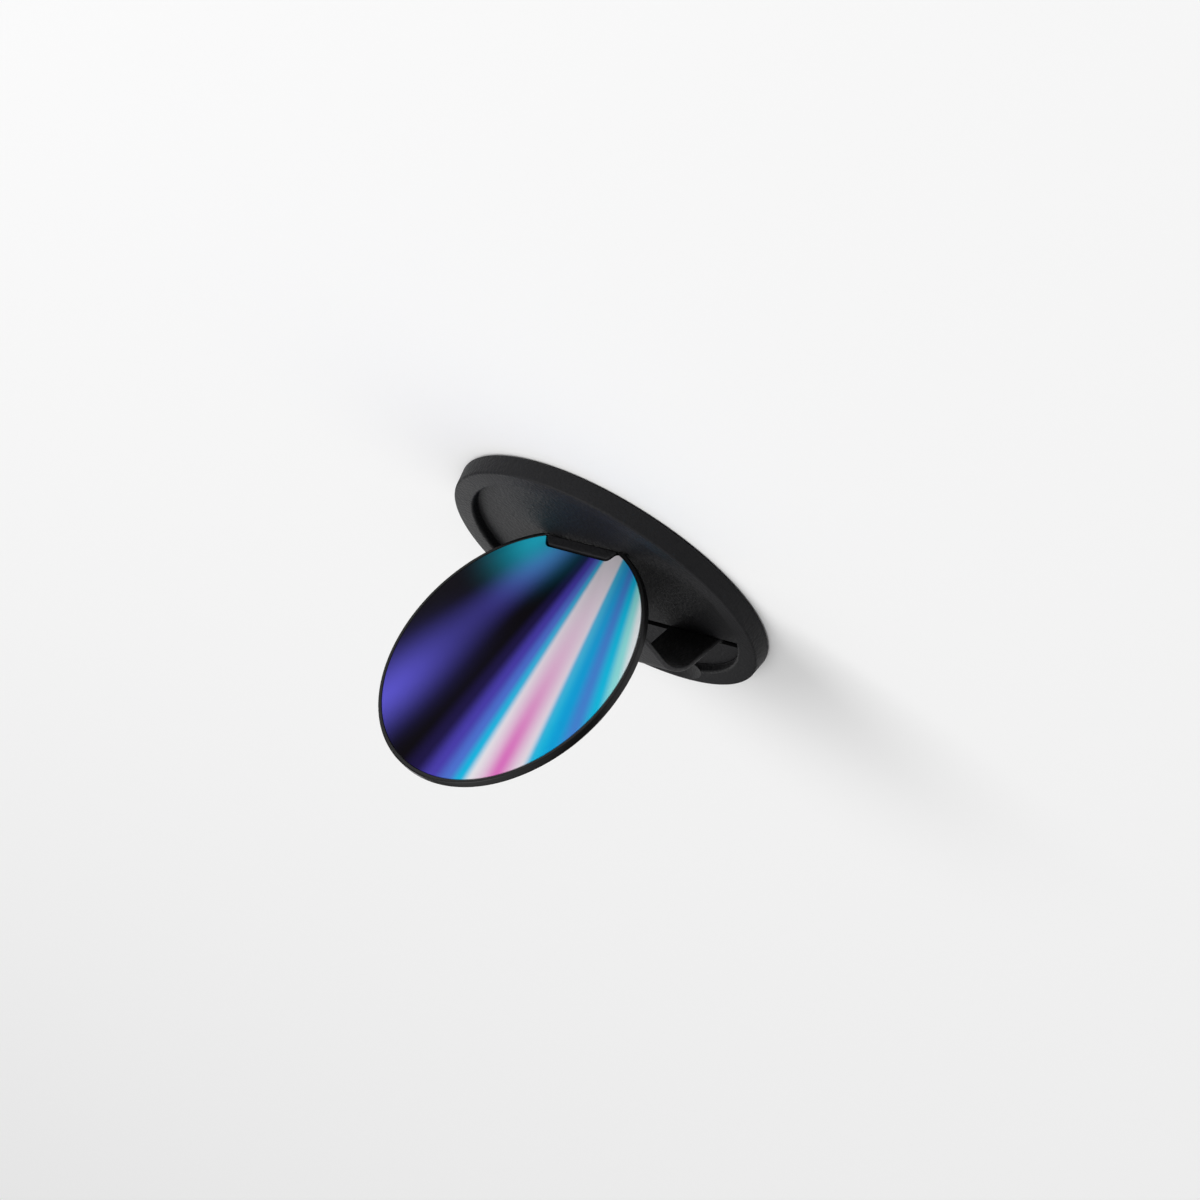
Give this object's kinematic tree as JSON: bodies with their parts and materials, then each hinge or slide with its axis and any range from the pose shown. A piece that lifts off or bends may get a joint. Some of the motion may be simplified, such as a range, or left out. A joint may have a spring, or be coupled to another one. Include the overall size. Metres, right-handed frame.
{
  "type": "magnetic phone grip",
  "caption": "Round magnetic phone grip whose printed disc folds flat into its base or stands up as a kickstand, with a soft strap that bows into a finger loop.",
  "frame": {"origin": "middle of the magnetic rear face that meets the phone", "axes": "+Z out of the phone's back, +X along the hinge rod, +Y from the finger scoop towards the disc's foot"},
  "size_m": [0.0564, 0.0564, 0.0482],
  "materials": {
    "soft_black": "fine satin, moulded",
    "strap_black": "matt, moulded soft",
    "pad_black": "matt soft-touch",
    "face_print": "glossy print of soft colour streaks",
    "steel": "plain rolled",
    "magnet_nickel": "nickel plated"
  },
  "bodies": {
    "base": {"base_housing": "soft_black", "rear_cover": "soft_black", "contact_pad": "pad_black", "yoke_ring": "steel", "anchor_plate": "soft_black", "strap": "strap_black", "ring_magnet_01": "magnet_nickel", "ring_magnet_02": "magnet_nickel", "ring_magnet_03": "magnet_nickel", "ring_magnet_04": "magnet_nickel", "ring_magnet_05": "magnet_nickel", "ring_magnet_06": "magnet_nickel", "ring_magnet_07": "magnet_nickel", "ring_magnet_08": "magnet_nickel", "ring_magnet_09": "magnet_nickel", "ring_magnet_10": "magnet_nickel", "ring_magnet_11": "magnet_nickel", "ring_magnet_12": "magnet_nickel", "ring_magnet_13": "magnet_nickel", "ring_magnet_14": "magnet_nickel", "ring_magnet_15": "magnet_nickel", "ring_magnet_16": "magnet_nickel"},
    "strap_end": {"hinge_rod": "steel"},
    "disc": {"disc_frame": "soft_black", "face_insert": "face_print", "foot_tab": "soft_black", "latch_magnet_left": "magnet_nickel", "latch_magnet_right": "magnet_nickel"}
  },
  "joints": [
    {"name": "foot_slide", "type": "slide", "parent": "base", "child": "strap_end", "axis": [0, 1, 0], "range_m": [0, 0.01385]},
    {"name": "disc_fold", "type": "hinge", "parent": "strap_end", "child": "disc", "pos_m": [0, 0.0073, 0.00315], "axis": [1, 0, 0], "range_deg": [0, 90], "deforming": ["strap"]}
  ],
  "couplings": [
    {"joint": "foot_slide", "follows": "disc_fold", "m_per_rad": 0.0088167}
  ]
}
